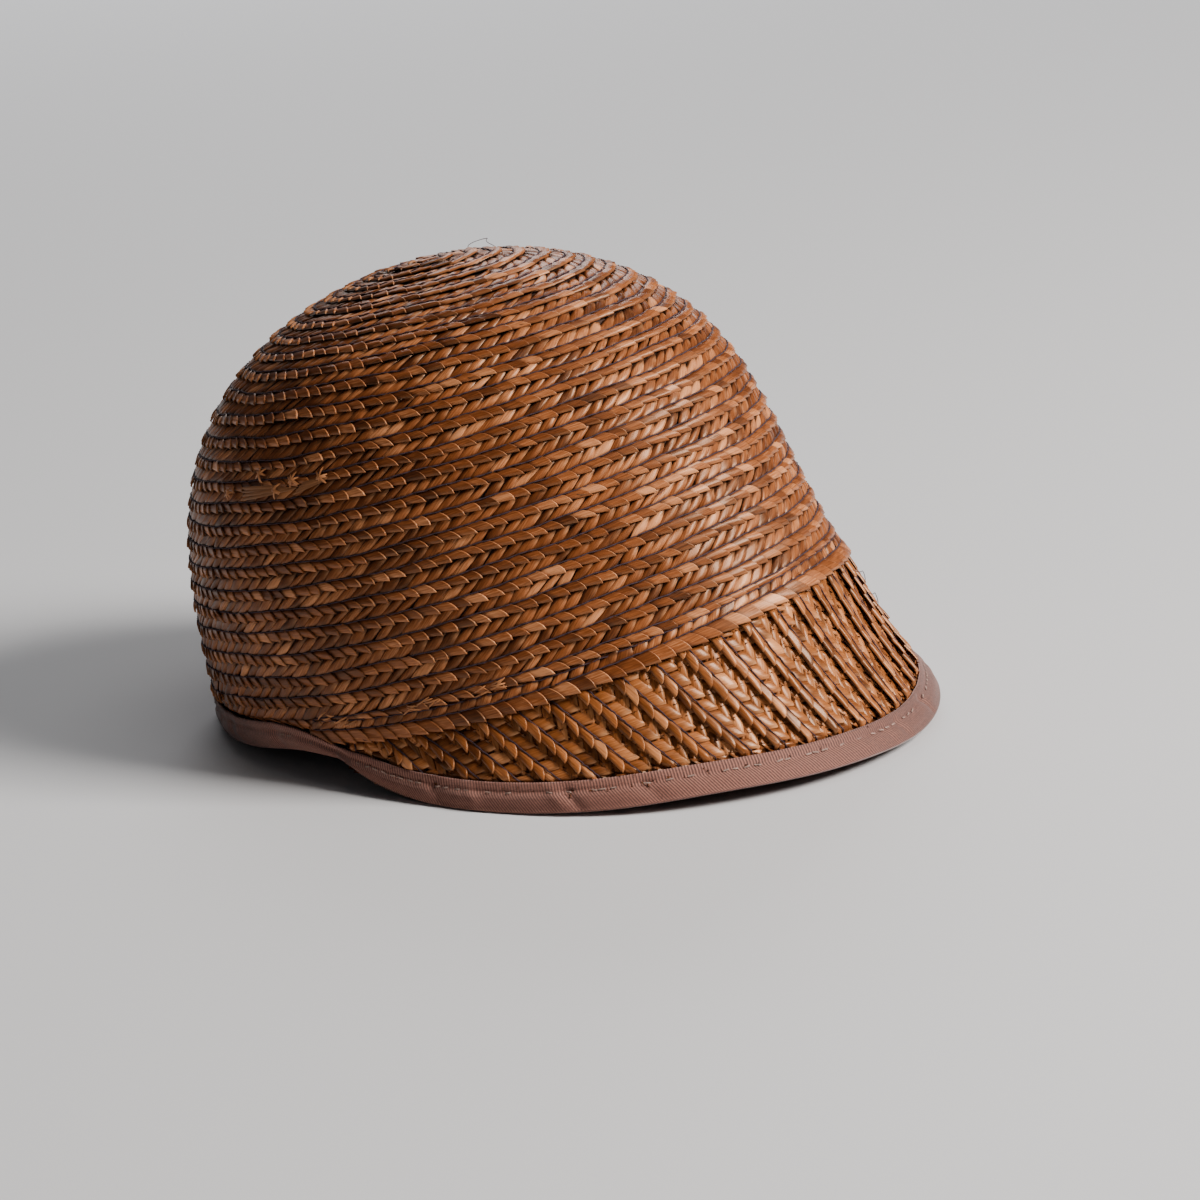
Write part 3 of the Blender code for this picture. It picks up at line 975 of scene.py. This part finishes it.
def make_loose_threads(material):
    for place, row in enumerate(LOOSE_THREADS):
        part = np.linspace(0.0, 1.0, 25)
        turn = math.radians(row.turn)
        along = (part - 0.5) * row.length + 0.8 * np.sin(part * 9.0)
        angle = row.angle - along * math.cos(turn) / LOOSE_REACH
        height = (row.height + along * math.sin(turn)) * MM
        base, normal = normals(lambda p, q: wall_point(p, q, 0.0), angle, height, -0.1, 0.0002)
        centre = base + normal * ((0.3 + row.lift * np.sin(part * math.pi)) * MM)[:, None]
        side = unit(np.cross(normal, np.gradient(centre, axis=0)))
        thread_tube("loose_thread_%d" % place, material, centre, side, LOOSE_THREAD_RADIUS)


# Ribbon

def ribbon_profile(top, foot):
    """Heights and depths across the ribbon, from its outer top edge under the rim to its inner top."""
    fold = foot + FOLD_HEIGHT
    down = np.linspace(0.0, 1.0, SIDE_ROWS)
    bulge = 0.15 + 0.65 * np.sin(math.pi * np.clip((down - 0.30) / 0.62, 0.0, 1.0))
    swing = math.pi * np.linspace(0.0, 1.0, FOLD_ROWS + 2)[1:-1]
    heights = [mix(top, fold, down), fold - FOLD_HEIGHT * np.sin(swing), mix(fold, top, down)]
    under = RIBBON_INNER_DEPTH * (1.0 - np.cos(swing)) / 2.0
    depths = [-bulge * MM, under, np.full(SIDE_ROWS, RIBBON_INNER_DEPTH)]
    return np.concatenate(heights), np.concatenate(depths)


def rim_line():
    """Angles round the rim from the middle of the back, and the run along it to each."""
    angles = np.linspace(180.0, -180.0, RIM_SAMPLES)
    return angles, run_along(wall_point(angles, rim_value("height", angles), 0.0))


def make_ribbon(material):
    angles, run = rim_line()
    ribs = int(run[-1] / RIB_PITCH)
    places = np.interp(np.linspace(0.0, run[-1], 2 * ribs + 1), run, angles)
    foot = rim_value("height", places)
    pairs = [ribbon_profile(*pair) for pair in zip(ribbon_top(places), foot)]
    heights, depths = (np.array(values) for values in zip(*pairs))
    across = np.arange(heights.shape[1])
    rib = np.where(np.arange(len(places)) % 2 == 0, 0.5, -0.5)[:, None] * RIB_RELIEF
    sign = np.where(across < FOLD_COLUMN, -1.0, 1.0)
    slant = np.interp(across, SLANT_COLUMNS, (0.0, RIB_SLANT, RIB_SLANT, 0.0))
    turned = places[:, None] + np.gradient(places)[:, None] * slant
    groove = STITCH_GROOVE * np.exp(-((across - STITCH_COLUMN) / 0.7) ** 2) * (across < 8)
    swell = np.sin(math.pi * np.clip(across / SIDE_ROWS, 0.0, 1.0)) * (across <= SIDE_ROWS)
    waves = puckers(run[-1], len(places))[:, None] * swell
    bm = bent_grid(wall_point(turned, heights, depths + sign * (rib - groove) - waves), 0.0)
    piece = finish_mesh("rim_ribbon_cloth", bm, material, ("rim_ribbon",))
    width = run_along(np.stack([heights[0], depths[0]], axis=-1))
    set_strand_map(piece, np.linspace(0.0, run[-1], len(places))[:, None], width)
    solid = piece.modifiers.new("thickness", "SOLIDIFY")
    solid.thickness = RIBBON_THICKNESS
    solid.offset = -1.0
    return piece


def make_ribbon_stitches(material):
    """Running stitch that holds the ribbon, a little below its top edge."""
    angles, run = rim_line()

    def surface(along, across):
        angle = np.interp(along, run / MM, angles)
        return wall_point(angle, ribbon_top(angle) - (RIBBON_STITCH - across) * MM, -0.42 * MM)
    places = np.arange(1.0, run[-1] / MM - 1.0, RUNNING_PITCH)
    places = places + scattered(len(places), 0.6)
    places = places[rng.uniform(0.0, 1.0, len(places)) > RUNNING_HIDDEN]
    strands = loose_strands(len(places))
    a = np.linspace(0.0, 1.0, 5)[None, :, None]
    b = np.linspace(0.0, 1.0, 3)[None, None, :]
    length = RUNNING_LENGTH * strands.step[:, None, None]
    x = (a - 0.5) * length
    y = (b - 0.5) * RUNNING_WIDTH + strands.tilt[:, None, None] * (a - 0.5) * 1.2
    n = RUNNING_HEIGHT * (1.0 - (2.0 * a - 1.0) ** 4) * (1.0 - 0.9 * (2.0 * b - 1.0) ** 2)
    patch = whole_patch(x, y, n, 0.0, 0.0, x, y)
    base, normal = normals(surface, places[:, None, None] + x, y, *STRIP_REACH)
    points = base + normal * (n * MM)[..., None]
    laid_plait("ribbon_stitches", material, patch, strands, points, (4, 2))


def puckers(length, count):
    """Small gathers along the ribbon, where it is eased round the rim."""
    place = np.linspace(0.0, length, count)
    total = np.zeros(count)
    for centre in rng.uniform(0.0, length, GATHERS):
        depth = rng.uniform(-0.00095, 0.00070)
        total += depth * np.exp(-((place - centre) / rng.uniform(0.0012, 0.0040)) ** 2)
    return total


# Finishes

CROWN_DYE = (
    (0.10, (0.050, 0.013, 0.004)),
    (0.42, (0.170, 0.047, 0.012)),
    (0.62, (0.300, 0.092, 0.027)),
    (0.90, (0.630, 0.256, 0.105)),
)
PEAK_DYE = (
    (0.10, (0.055, 0.015, 0.004)),
    (0.42, (0.205, 0.062, 0.014)),
    (0.62, (0.335, 0.108, 0.028)),
    (0.90, (0.590, 0.240, 0.092)),
)
# Ramp of the ribbon's dye, spread also by the painted shade of its rib bands
RIBBON_DYE_AND_RIB_SHADE = (
    (0.2, (0.068, 0.021, 0.013)),
    (0.5, (0.220, 0.079, 0.051)),
    (0.8, (0.45, 0.188, 0.130)),
)
# Colours of the edges: partly wear, partly painted highlight on folds and float tops
CROWN_WEAR_AND_HIGHLIGHT = (0.80, 0.38, 0.17, 1.0)
PEAK_WEAR_AND_HIGHLIGHT = (0.80, 0.40, 0.18, 1.0)
STRAW_SHADE = (0.022, 0.007, 0.004, 1.0)
# The core's dark colour is painted shade: the shaded under layers of straw seen between the strands
CORE_SHADE_COLOR = (0.055, 0.022, 0.012)
THREAD_COLOR = (0.042, 0.019, 0.027)
RIBBON_THREAD_COLOR = (0.30, 0.19, 0.15)

# Shares of a strand's own tone, of its fibres and of larger blotches in the place on the dye's ramp
TONE_SHARE = 0.62
FIBRE_SHARE = 0.85
BLOTCH_SHARE = 0.36
RAMP_START = 0.42
FIBRE_FINENESS = 2600.0

# How far edges take the colour of wear and painted highlight, and sunk parts the painted shade, and how deep
# fibre and grain are
WEAR_AND_HIGHLIGHT_SHARE = 0.55
PAINTED_SHADE_SHARE = 0.85
FIBRE_DEPTH = 0.00012
GRAIN_DEPTH = 0.0001


def feed(tree, made, inputs):
    """Give a node's inputs values of their own or links from other nodes."""
    for name, value in inputs.items():
        if isinstance(value, bpy.types.NodeSocket):
            tree.links.new(value, made.inputs[name])
        else:
            made.inputs[name].default_value = value


def node(tree, kind, place, inputs=None, **values):
    made = tree.nodes.new(kind)
    made.location = place
    for name, value in values.items():
        setattr(made, name, value)
    feed(tree, made, inputs or {})
    return made


def math_node(tree, place, operation, first, second):
    made = node(tree, "ShaderNodeMath", place, {0: first, 1: second}, operation=operation)
    return made.outputs["Value"]


def ramp(tree, place, stops, factor):
    made = node(tree, "ShaderNodeValToRGB", place, {"Fac": factor})
    points = made.color_ramp.elements
    while len(points) < len(stops):
        points.new(0.5)
    for point, (position, color) in zip(points, stops):
        point.position = position
        point.color = (*color, 1.0)
    return made.outputs["Color"]


def tinted(tree, place, color, tint, share):
    values = {"Factor": share, "A": color, "B": tint}
    return node(tree, "ShaderNodeMix", place, values, data_type="RGBA").outputs["Result"]


def add_bump(tree, shader, place, height, distance):
    values = {"Height": height, "Strength": 0.5, "Distance": distance}
    bump = node(tree, "ShaderNodeBump", place, values)
    feed(tree, shader, {"Normal": bump.outputs["Normal"]})


def new_material(name):
    material = bpy.data.materials.new(name)
    material.use_nodes = True
    return material, material.node_tree, material.node_tree.nodes["Principled BSDF"]


def fibre_group():
    """Streaks of straw fibre from the strand's own map, and blotches from the object's place."""
    group = bpy.data.node_groups.new("straw_fibre", "ShaderNodeTree")
    for name, way in (("Fineness", "INPUT"), ("Streak", "OUTPUT"), ("Blotch", "OUTPUT")):
        group.interface.new_socket(name, in_out=way, socket_type="NodeSocketFloat")
    entry = node(group, "NodeGroupInput", (-900, 0))
    strand = node(group, "ShaderNodeUVMap", (-900, 200), uv_map="strand")
    stretch = {"Vector": strand.outputs["UV"], "Scale": (1.0, 0.055, 1.0)}
    stretched = node(group, "ShaderNodeMapping", (-700, 200), stretch).outputs["Vector"]
    lines = {"Vector": stretched, "Scale": entry.outputs["Fineness"], "Detail": 3.0, "Roughness": 0.6}
    fine = node(group, "ShaderNodeTexNoise", (-450, 200), lines)
    coord = node(group, "ShaderNodeTexCoord", (-900, -200))
    spots = {"Vector": coord.outputs["Object"], "Scale": 55.0, "Detail": 2.0}
    blotch = node(group, "ShaderNodeTexNoise", (-450, -200), spots)
    given = {"Streak": fine.outputs["Fac"], "Blotch": blotch.outputs["Fac"]}
    node(group, "NodeGroupOutput", (500, 0), given)
    return group


def straw_material(name, fibre, dye, wear_and_highlight, roughness, coat):
    """Dyed straw: each strand has its own tone, edges lightened as wear and painted highlight, and sunk parts
    darkened as painted shade.
    """
    material, tree, shader = new_material(name)
    tone = node(tree, "ShaderNodeAttribute", (-1100, 200), attribute_name="tone")
    parts = node(tree, "ShaderNodeSeparateColor", (-900, 200), {"Color": tone.outputs["Color"]})
    streaks = node(tree, "ShaderNodeGroup", (-1100, -100), {"Fineness": FIBRE_FINENESS}, node_tree=fibre)
    streak = streaks.outputs["Streak"]
    shade = math_node(tree, (-700, 250), "MULTIPLY", parts.outputs["Red"], TONE_SHARE)
    lines = math_node(tree, (-700, 100), "MULTIPLY", streak, FIBRE_SHARE)
    blotch = math_node(tree, (-700, -50), "MULTIPLY", streaks.outputs["Blotch"], BLOTCH_SHARE)
    total = math_node(tree, (-500, 150), "ADD", shade, lines)
    total = math_node(tree, (-350, 150), "ADD", total, blotch)
    total = math_node(tree, (-200, 150), "SUBTRACT", total, RAMP_START)
    color = ramp(tree, (-50, 250), dye, total)
    # Edges lightened towards the wear colour: partly wear, partly painted highlight
    edge = math_node(tree, (50, 0), "MULTIPLY", parts.outputs["Green"], WEAR_AND_HIGHLIGHT_SHARE)
    color = tinted(tree, (250, 250), color, wear_and_highlight, edge)
    # Sunk parts mixed towards the shade colour: painted shade in the gaps and under the rows
    sunk = math_node(tree, (250, 0), "MULTIPLY", parts.outputs["Blue"], PAINTED_SHADE_SHARE)
    color = tinted(tree, (450, 250), color, STRAW_SHADE, sunk)
    limits = {"Value": streak, "To Min": roughness - 0.10, "To Max": roughness + 0.14}
    rough = node(tree, "ShaderNodeMapRange", (250, -200), limits)
    add_bump(tree, shader, (450, -300), streak, FIBRE_DEPTH)
    feed(tree, shader, {
        "Base Color": color,
        "Roughness": rough.outputs["Result"],
        "Specular Tint": (1.0, 0.62, 0.38, 1.0),
        "Coat Weight": coat,
        "Coat Roughness": 0.22,
        "Coat Tint": (1.0, 0.78, 0.60, 1.0),
    })
    return material


def plain_material(name, color, roughness):
    """One colour with a fine grain."""
    material, tree, shader = new_material(name)
    coord = node(tree, "ShaderNodeTexCoord", (-900, 0))
    grain = {"Vector": coord.outputs["Object"], "Scale": 900.0}
    noise = node(tree, "ShaderNodeTexNoise", (-700, 0), grain)
    dark = tuple(0.6 * part for part in color)
    light = tuple(min(1.3 * part, 1.0) for part in color)
    tint = ramp(tree, (-450, 0), ((0.3, dark), (0.7, light)), noise.outputs["Fac"])
    feed(tree, shader, {"Base Color": tint, "Roughness": roughness})
    return material


def ribbon_material():
    material, tree, shader = new_material("rim_grosgrain")
    strand = node(tree, "ShaderNodeUVMap", (-1100, 0), uv_map="strand").outputs["UV"]
    # Wave bands one rib apart darken the cloth between its ribs: painted shade between the ribs
    waves = {"Vector": strand, "Scale": math.pi * 2.0 / RIB_PITCH / 20.0, "Distortion": 0.4}
    ribs = node(tree, "ShaderNodeTexWave", (-850, 150), waves, wave_type="BANDS", bands_direction="Y")
    noise = node(tree, "ShaderNodeTexNoise", (-850, -200), {"Vector": strand, "Scale": 1800.0})
    total = math_node(tree, (-600, 0), "MULTIPLY", ribs.outputs["Fac"], 0.50)
    grain = math_node(tree, (-600, -150), "MULTIPLY", noise.outputs["Fac"], 0.45)
    total = math_node(tree, (-400, 0), "ADD", total, grain)
    color = ramp(tree, (-200, 0), RIBBON_DYE_AND_RIB_SHADE, total)
    add_bump(tree, shader, (-200, -300), noise.outputs["Fac"], GRAIN_DEPTH)
    feed(tree, shader, {"Base Color": color, "Roughness": 0.78, "Sheen Weight": 0.4})
    return material


# Studio

CAMERA_AZIMUTH = -57.48
CAMERA_ELEVATION = 9.738
CAMERA_ROLL = -15.206
CAMERA_DISTANCE = 1.358
CAMERA_TARGET = Vector((0.0, 0.0, 0.0582))
CAMERA_LENS = 129.7
FRAMING_RIGHT = 0.0391
FRAMING_UP = -0.0311

# Lights: metres from the cap's middle to the camera's right, up, and back towards the camera
Lamp = namedtuple("Lamp", "name right up back size power color")
LAMPS = (
    Lamp("key", 1.45, 1.15, 0.55, (0.7, 0.7), 76.0, (1.0, 0.96, 0.92)),
    Lamp("fill", -1.3, 0.8, 1.4, (1.2, 1.2), 0.3, (0.93, 0.96, 1.0)),
    Lamp("top", 0.5, 1.9, 0.0, (1.2, 1.2), 7.0, (1.0, 0.98, 0.96)),
    Lamp("backdrop", 0.0, 1.5, -3.2, (3.0, 1.6), 82.0, (0.97, 0.98, 1.0)),
)
STRAIGHT_DOWN = (1.0, 0.0, 0.0, 0.0)
WORLD_COLOR = (0.80, 0.82, 0.86, 1.0)
WORLD_STRENGTH = 0.055
FLOOR_COLOR = (0.64, 0.64, 0.65, 1.0)
FLOOR_HALF_WIDTH = 6.0


def place_camera():
    """The camera as it stands to the cap in the photograph, leaned with the cap."""
    azimuth, elevation, roll = (math.radians(x) for x in (CAMERA_AZIMUTH, CAMERA_ELEVATION, CAMERA_ROLL))
    level = math.cos(elevation)
    back = Vector((math.sin(azimuth) * level, -math.cos(azimuth) * level, math.sin(elevation)))
    level = (-back).cross(Vector((0, 0, 1))).normalized()
    upright = level.cross(-back)
    right = math.cos(roll) * level + math.sin(roll) * upright
    up = -math.sin(roll) * level + math.cos(roll) * upright
    stand = CAMERA_TARGET + back * CAMERA_DISTANCE
    aim = CAMERA_TARGET + right * FRAMING_RIGHT + up * FRAMING_UP
    look = (stand - aim).normalized()
    right = up.cross(look).normalized()
    up = look.cross(right)
    pose = Matrix((right, up, look)).transposed().to_4x4()
    pose.translation = stand
    camera = bpy.data.cameras.new("camera")
    camera.lens = CAMERA_LENS
    camera.sensor_width = 36.0
    camera.dof.use_dof = False
    rig = add_object("camera", camera)
    rig.matrix_world = SEAT @ pose
    bpy.context.scene.camera = rig
    return rig


def add_light(rig, lamp):
    """A soft light placed from the camera's own directions round the cap."""
    light = bpy.data.lights.new(lamp.name, "AREA")
    light.shape = "RECTANGLE"
    light.size, light.size_y = lamp.size
    light.energy = lamp.power
    light.color = lamp.color
    holder = add_object(lamp.name, light)
    turn = rig.matrix_world.to_3x3()
    flat_right = (turn @ Vector((1, 0, 0))).to_2d().to_3d().normalized()
    flat_back = (turn @ Vector((0, 0, 1))).to_2d().to_3d().normalized()
    centre = Vector((0.0, 0.0, 0.07))
    place = centre + flat_right * lamp.right + flat_back * lamp.back + Vector((0, 0, lamp.up))
    holder.location = place
    holder.rotation_mode = "QUATERNION"
    holder.rotation_quaternion = (place - centre).to_track_quat("Z", "Y")
    return holder


def make_studio(rig):
    bm = bmesh.new()
    bmesh.ops.create_grid(bm, x_segments=1, y_segments=1, size=FLOOR_HALF_WIDTH)
    mesh = bpy.data.meshes.new("floor")
    bm.to_mesh(mesh)
    bm.free()
    paper, tree, shader = new_material("paper_floor")
    feed(tree, shader, {"Base Color": FLOOR_COLOR, "Roughness": 0.9})
    mesh.materials.append(paper)
    floor = add_object("floor", mesh)
    world = bpy.data.worlds.new("studio")
    world.use_nodes = True
    sky = world.node_tree.nodes["Background"]
    feed(world.node_tree, sky, {"Color": WORLD_COLOR, "Strength": WORLD_STRENGTH})
    bpy.context.scene.world = world
    *_, backdrop = [add_light(rig, lamp) for lamp in LAMPS]
    backdrop.rotation_quaternion = STRAIGHT_DOWN


def main():
    fibre = fibre_group()
    crown_straw = straw_material("crown_straw_dyed", fibre, CROWN_DYE, CROWN_WEAR_AND_HIGHLIGHT, 0.36, 0.06)
    peak_straw = straw_material("peak_straw_dyed", fibre, PEAK_DYE, PEAK_WEAR_AND_HIGHLIGHT, 0.34, 0.12)
    # Dark core: painted shade between the strands
    core = plain_material("straw_core_shade", CORE_SHADE_COLOR, 0.8)
    thread = plain_material("sewing_thread", THREAD_COLOR, 0.85)
    make_crown(crown_straw)
    make_crown_core(core)
    make_lap_row(crown_straw)
    make_peak(peak_straw, core)
    make_crown_thread(thread)
    make_strip_threads(thread)
    make_lap_threads(thread)
    make_ribbon(ribbon_material())
    make_ribbon_stitches(plain_material("ribbon_stitch", RIBBON_THREAD_COLOR, 0.8))
    make_repair(crown_straw)
    make_loose_threads(thread)
    make_studio(place_camera())


main()
